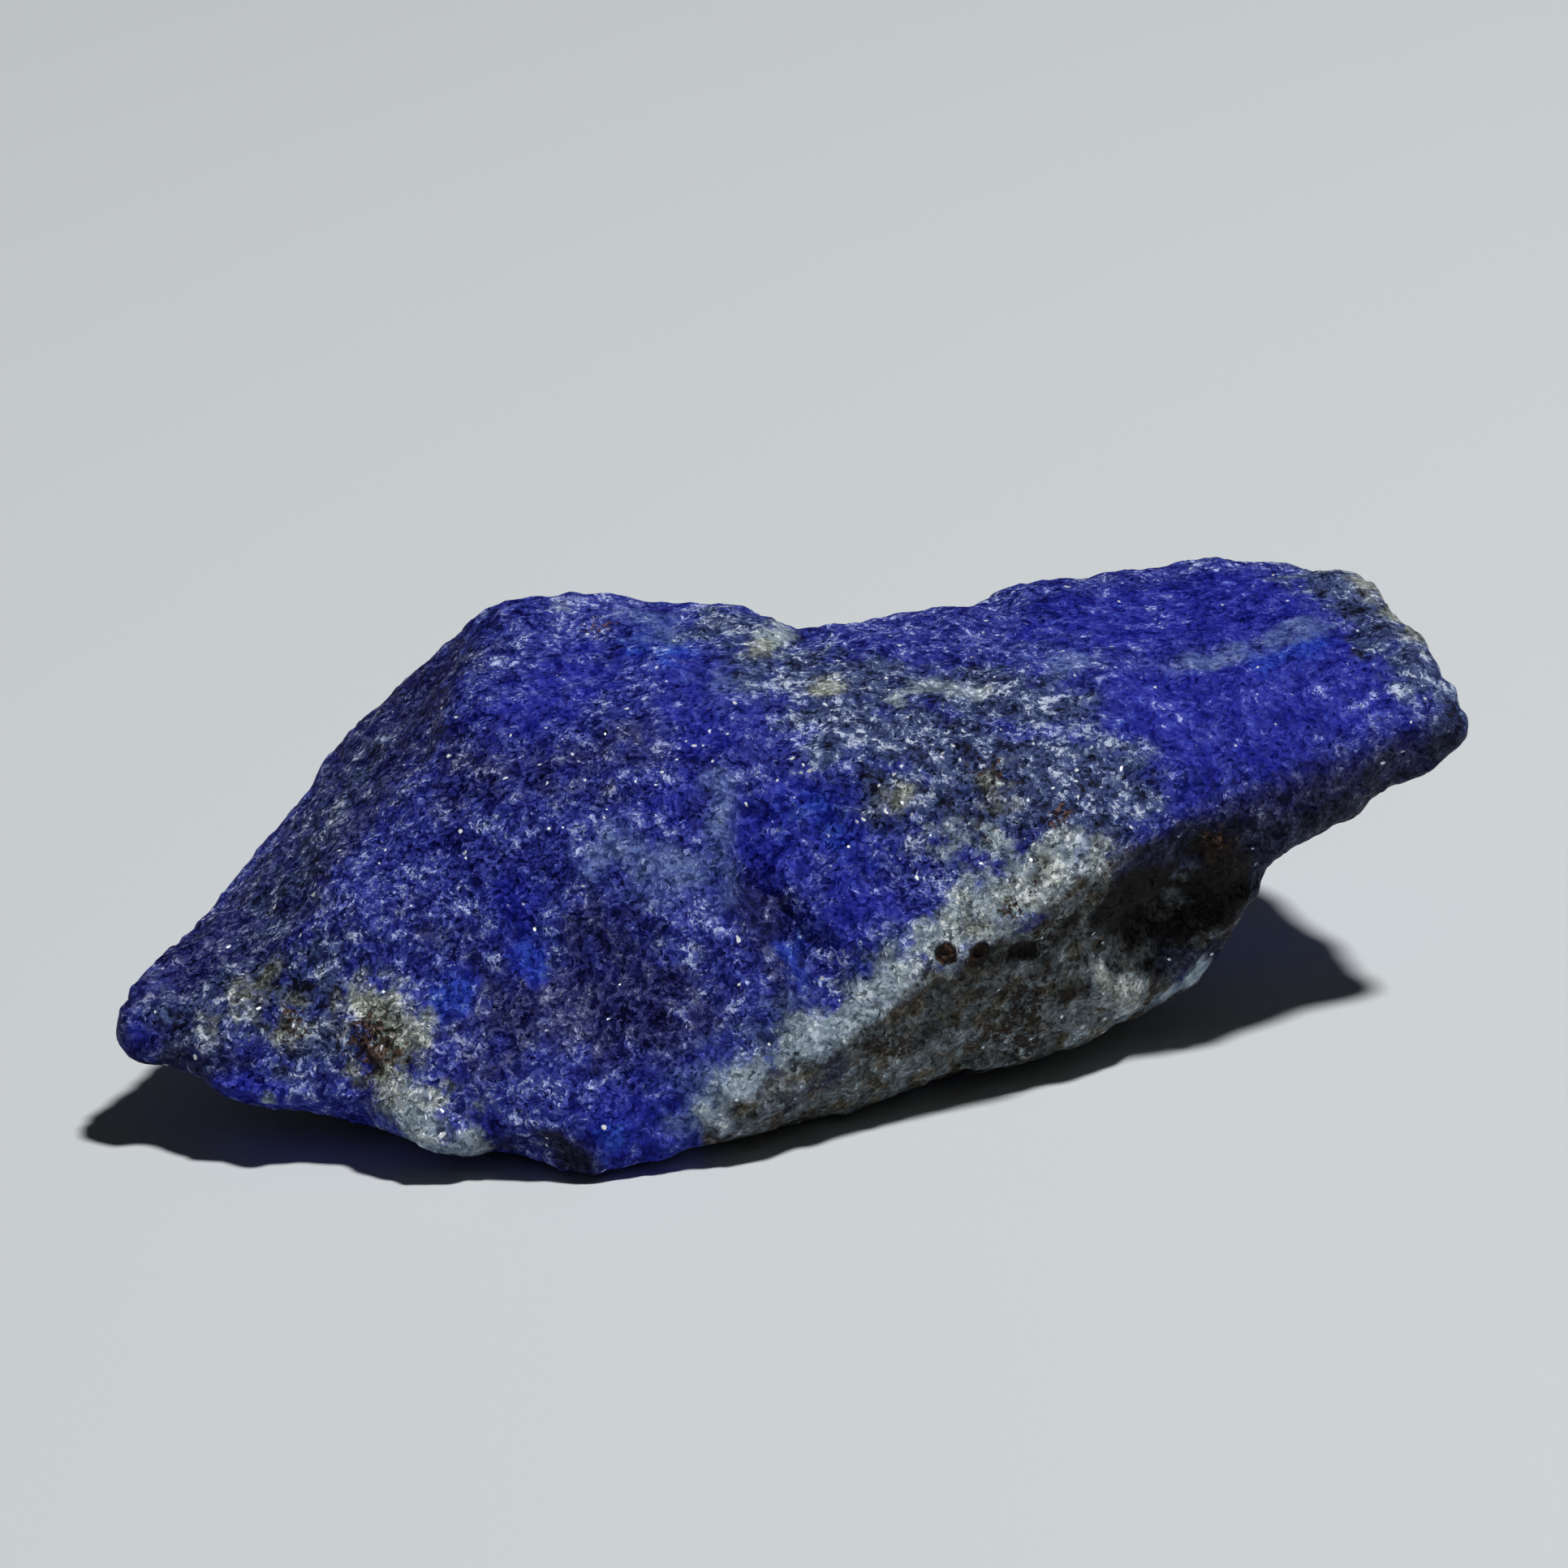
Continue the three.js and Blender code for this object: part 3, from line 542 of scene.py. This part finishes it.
def tones(value, stops):
    """A colour picked by a value from (value, colour) stops."""
    made = node(tree, "ValToRGB", _0=value)
    ends = made.color_ramp.elements
    while len(ends) < len(stops):
        ends.new(0.5)
    for end, (at, colour) in zip(ends, stops):
        end.position = at
    for end, (at, colour) in zip(ends, stops):
        end.color = (*colour, 1.0)
    return made.outputs["Color"]


def cloud(vector, scale, detail=3.0, roughness=0.6, curl=0.0):
    """Uneven noise, about 0.5 on average."""
    return node(
        tree, "TexNoise", vector=vector, scale=scale, detail=detail, roughness=roughness, distortion=curl,
    ).outputs["Fac"]


def thread(value, width):
    """1 along the lines where noise passes its middle, 0 away from them."""
    away = maths("ABSOLUTE", maths("SUBTRACT", value, 0.5))
    return maths("MULTIPLY_ADD", away, -1.0 / width, 1.0, True)


# The rock's own coordinates in millimetres, pulled about so that no pattern runs straight.
where = node(tree, "TexCoord").outputs["Object"]
place = shift("SCALE", where, 1.0 / MM)
pull = node(tree, "TexNoise", vector=place, scale=CURLS_PER_MM, detail=2.0).outputs["Color"]
pulled = shift("ADD", place, shift("SCALE", shift("SUBTRACT", pull, (0.5, 0.5, 0.5)), CURL_PULL))
aside = shift("ADD", pulled, ASIDE_MM)

# The patterns: broad drifts and patches, mottles, then small flakes, chips and wisps.
drift = cloud(place, DRIFTS_PER_MM, 3.0)
patchy = cloud(aside, PATCHES_PER_MM, 3.0)
mottle = cloud(pulled, MOTTLES_PER_MM, 3.0, 0.6)
jag = node(tree, "TexNoise", vector=place, scale=JAGS_PER_MM, detail=1.0).outputs["Color"]
jagged = shift("ADD", pulled, shift("SCALE", shift("SUBTRACT", jag, (0.5, 0.5, 0.5)), JAG_PULL))
flake = node(tree, "TexVoronoi", vector=jagged, scale=FLAKES_PER_MM)
flake_pick = node(tree, "SeparateColor", color=flake.outputs["Color"])
chip = node(tree, "TexVoronoi", vector=jagged, scale=CHIPS_PER_MM)
chip_pick = node(tree, "SeparateColor", color=chip.outputs["Color"])
fine = flake_pick.outputs[0]
wisp = thread(cloud(jagged, WISPS_PER_MM, 1.5, 0.55, 0.6), WISP_WIDTH)
wisp = maths("MULTIPLY", wisp, step(cloud(aside, 3.6), 0.38, 0.52))


def share_of(layer_name):
    """A mineral's share at each point; the painted shade and the crowding of painted glints are kept the
    same way.
    """
    return node(tree, "Attribute", {"attribute_name": layer_name}).outputs["Fac"]


ragged = total(-0.5, (cloud(place, RAGGED_PER_MM, 5.0, 0.62), 1.0))


def mask_of(layer_name, soft, ragged_by=2.4):
    """Where one mineral shows, with ragged edges; also where the painted shade shows."""
    share = share_of(layer_name)
    uneven = maths("MULTIPLY", ragged, maths("MULTIPLY", step(share, 0.0, 0.3), ragged_by))
    return step(maths("ADD", share, uneven), MASK_MIDDLE - soft, MASK_MIDDLE + soft)


navy = mask_of("navy", 0.35)
royal = mask_of("royal", 0.35)
pale = mask_of("pale", 0.5, 3.2)
azure = mask_of("azure", 0.45, 3.0)
grey = mask_of("grey", 0.32)
beige = mask_of("beige", 0.32)
calcite = mask_of("calcite", 0.32)
grimy = mask_of("grimy", 0.25, 1.4)
painted_shade = mask_of("painted_shade", 0.35, 1.6)
pits_and_painted_shade = mask_of("pits_and_painted_shade", 0.25, 1.6)

# The grain pattern: smooth dark and middle tones, broken into small flakes. The pale flakes and wisps
# are thickest in calcite, and thinnest in the purest blue and in the brown rock.
crowd = total(0.26, (step(patchy, 0.40, 0.66), 0.30), (grey, -0.12), (royal, -0.30), (calcite, 0.25))
crowd = total(crowd, (grimy, -0.4), (pale, -0.1), (navy, -0.06))
crowd = maths("MAXIMUM", crowd, 0.1)
flakes = step(total(0.0, (flake_pick.outputs[1], 0.5), (crowd, 0.16)), 0.48, 0.62)
flakes = maths("MULTIPLY", flakes, step(cloud(aside, 8.0, 2.0), 0.36, 0.56))
threads = maths("MAXIMUM", maths("MULTIPLY", wisp, crowd), maths("MULTIPLY", flakes, 0.45))
grain = total(-1.59, (mottle, 1.5), (patchy, 0.7), (drift, 0.7))
grain = total(grain, (fine, 0.42), (chip_pick.outputs[0], 0.16), (cloud(place, GRITS_PER_MM, 2.0), 0.5))
grain = maths("MULTIPLY_ADD", threads, 0.85, grain, True)

# Each mineral's tones.
body = tones(grain, (
    (0.0, (0.002, 0.003, 0.072)), (0.15, (0.006, 0.008, 0.140)), (0.45, (0.029, 0.038, 0.32)),
    (0.72, (0.090, 0.118, 0.47)), (1.0, (0.54, 0.62, 1.0)),
))
body = between(navy, body, tones(grain, (
    (0.0, (0.001, 0.0015, 0.028)), (0.15, (0.003, 0.004, 0.060)), (0.45, (0.021, 0.025, 0.15)),
    (0.78, (0.092, 0.105, 0.26)), (1.0, (0.36, 0.40, 0.66)),
)))
body = between(royal, body, tones(grain, (
    (0.0, (0.003, 0.004, 0.14)), (0.2, (0.007, 0.010, 0.24)), (0.55, (0.024, 0.032, 0.38)),
    (0.85, (0.080, 0.105, 0.54)), (1.0, (0.48, 0.55, 1.0)),
)))
body = between(azure, body, tones(grain, (
    (0.0, (0.004, 0.010, 0.22)), (0.3, (0.012, 0.030, 0.38)), (0.6, (0.030, 0.080, 0.55)),
    (0.85, (0.10, 0.19, 0.70)), (1.0, (0.45, 0.55, 0.95)),
)))
body = between(pale, body, tones(grain, (
    (0.0, (0.026, 0.044, 0.21)), (0.3, (0.066, 0.102, 0.34)), (0.6, (0.130, 0.190, 0.46)),
    (0.85, (0.21, 0.27, 0.55)), (1.0, (0.50, 0.58, 0.90)),
)))
body = between(grey, body, tones(maths("MULTIPLY_ADD", grain, 1.3, -0.12), (
    (0.0, (0.007, 0.008, 0.020)), (0.12, (0.014, 0.021, 0.070)), (0.42, (0.043, 0.064, 0.19)),
    (0.72, (0.105, 0.145, 0.31)), (1.0, (0.60, 0.68, 0.88)),
)))
body = between(grimy, body, tones(grain, (
    (0.0, (0.015, 0.016, 0.017)), (0.2, (0.048, 0.055, 0.058)), (0.5, (0.112, 0.132, 0.142)),
    (0.8, (0.24, 0.285, 0.32)), (1.0, (0.64, 0.73, 0.85)),
)))
brown = maths("MULTIPLY", step(cloud(aside, 1.1, 4.0), 0.46, 0.60), maths("MULTIPLY", grimy, 0.85))
body = between(brown, body, tones(grain, (
    (0.0, (0.010, 0.007, 0.005)), (0.5, (0.070, 0.054, 0.032)), (1.0, (0.27, 0.24, 0.19)),
)))
# Painted shade: dark tones with little blue, where shade falls.
body = between(painted_shade, body, tones(grain, (
    (0.0, (0.002, 0.002, 0.010)), (0.2, (0.006, 0.007, 0.026)), (0.5, (0.018, 0.022, 0.056)),
    (0.8, (0.044, 0.052, 0.10)), (1.0, (0.13, 0.15, 0.23)),
)))
body = between(calcite, body, tones(maths("MULTIPLY_ADD", grain, 0.85, 0.2), (
    (0.0, (0.02, 0.026, 0.042)), (0.10, (0.07, 0.092, 0.14)), (0.3, (0.17, 0.225, 0.31)),
    (0.6, (0.33, 0.41, 0.50)), (0.85, (0.50, 0.60, 0.68)), (1.0, (0.92, 0.98, 1.0)),
)))
body = between(beige, body, tones(maths("MULTIPLY_ADD", grain, 0.95, 0.14), (
    (0.0, (0.022, 0.024, 0.022)), (0.2, (0.075, 0.085, 0.076)), (0.5, (0.20, 0.225, 0.205)),
    (0.8, (0.42, 0.465, 0.43)), (1.0, (0.90, 0.95, 0.92)),
)))
# Near-black painted shade in the deep hollow; in the small pits it is partly their own dark colour.
body = between(pits_and_painted_shade, body, (0.010, 0.009, 0.010))

# Rust: brown flecks and small pits.
rusty = share_of("rust")
rust = step(total(-1.5, (rusty, 1.0), (cloud(jagged, 4.6, 3.0, 0.65), 3.0)), 0.50, 0.64)
rust = maths("MULTIPLY", rust, step(rusty, 0.02, 0.2))
rust_tint = between(step(fine, 0.2, 1.0), (0.014, 0.009, 0.007), (0.17, 0.088, 0.062))
rust_tint = between(grimy, rust_tint, (0.028, 0.017, 0.013))
body = between(maths("MULTIPLY", rust, 0.9), body, rust_tint)

# Painted highlights: cleaved grains that catch the light, painted white in the colour with a painted
# blue glow round each, and made a little polished and metallic too. Some are larger than others.
GLINTS_PER_MM = 3.6
GLINT_RARITY = 0.977
GLINT_CROWDING = 0.42
PAINTED_GLINT_COLOUR = (0.95, 0.98, 1.0)
PAINTED_GLOW_COLOUR = (0.35, 0.45, 0.95)
PAINTED_GLOW_SHARE = 0.25

glint = node(tree, "TexVoronoi", vector=pulled, scale=GLINTS_PER_MM)
glint_pick = node(tree, "SeparateColor", color=glint.outputs["Color"])
glint_edge = total(
    GLINT_RARITY, (maths("MAXIMUM", grey, calcite), -0.03), (step(mottle, 0.5, 0.62), -0.05),
)
glint_edge = maths("MULTIPLY_ADD", share_of("sparkling"), -GLINT_CROWDING, glint_edge)
glint_reach = maths("MULTIPLY_ADD", glint_pick.outputs[1], 0.18, 0.11)
glint_far = maths("SUBTRACT", glint.outputs["Distance"], glint_reach)
bright = maths("GREATER_THAN", glint_pick.outputs[0], maths("MAXIMUM", glint_edge, pits_and_painted_shade))
polished_and_painted_glint = maths("MULTIPLY", bright, step(glint_far, 0.05, -0.03))
painted_glow = maths("MULTIPLY", bright, step(glint_far, 0.22, -0.05))
# The painted blue glow round each glint, then the painted white glint itself.
body = between(maths("MULTIPLY", painted_glow, PAINTED_GLOW_SHARE), body, PAINTED_GLOW_COLOUR)
body = between(polished_and_painted_glint, body, PAINTED_GLINT_COLOUR)

# The surface: matt between the glints, with the flakes standing a little proud and tilted every way.
ROUGHNESS = 0.6
GLINT_POLISH = 0.2
GLINT_METAL = 0.25
FLAKE_RELIEF = 0.00012
FLAKE_TILT = 1.0

put(shader.inputs["Base Color"], body)
put(shader.inputs["Metallic"], maths("MULTIPLY", polished_and_painted_glint, GLINT_METAL))
put(shader.inputs["Roughness"], maths("MULTIPLY_ADD", polished_and_painted_glint, -GLINT_POLISH, ROUGHNESS))

height = total(0.0, (mottle, -0.6), (fine, 0.35), (chip_pick.outputs[0], 0.5))
height = total(height, (threads, 0.3), (rust, -0.4))
bump = node(tree, "Bump", distance=FLAKE_RELIEF, strength=1.0, height=height)
tilt = between(polished_and_painted_glint, flake.outputs["Color"], glint.outputs["Color"])
tilt = shift("SUBTRACT", tilt, (0.5, 0.5, 0.5))
facing = shift("ADD", bump.outputs[0], shift("SCALE", tilt, FLAKE_TILT))
put(shader.inputs["Normal"], shift("NORMALIZE", facing, (0.0, 0.0, 0.0)))

stone.data.materials.clear()
stone.data.materials.append(stone_finish)
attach(stone, "root")
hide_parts("lapis_lazuli_stone")
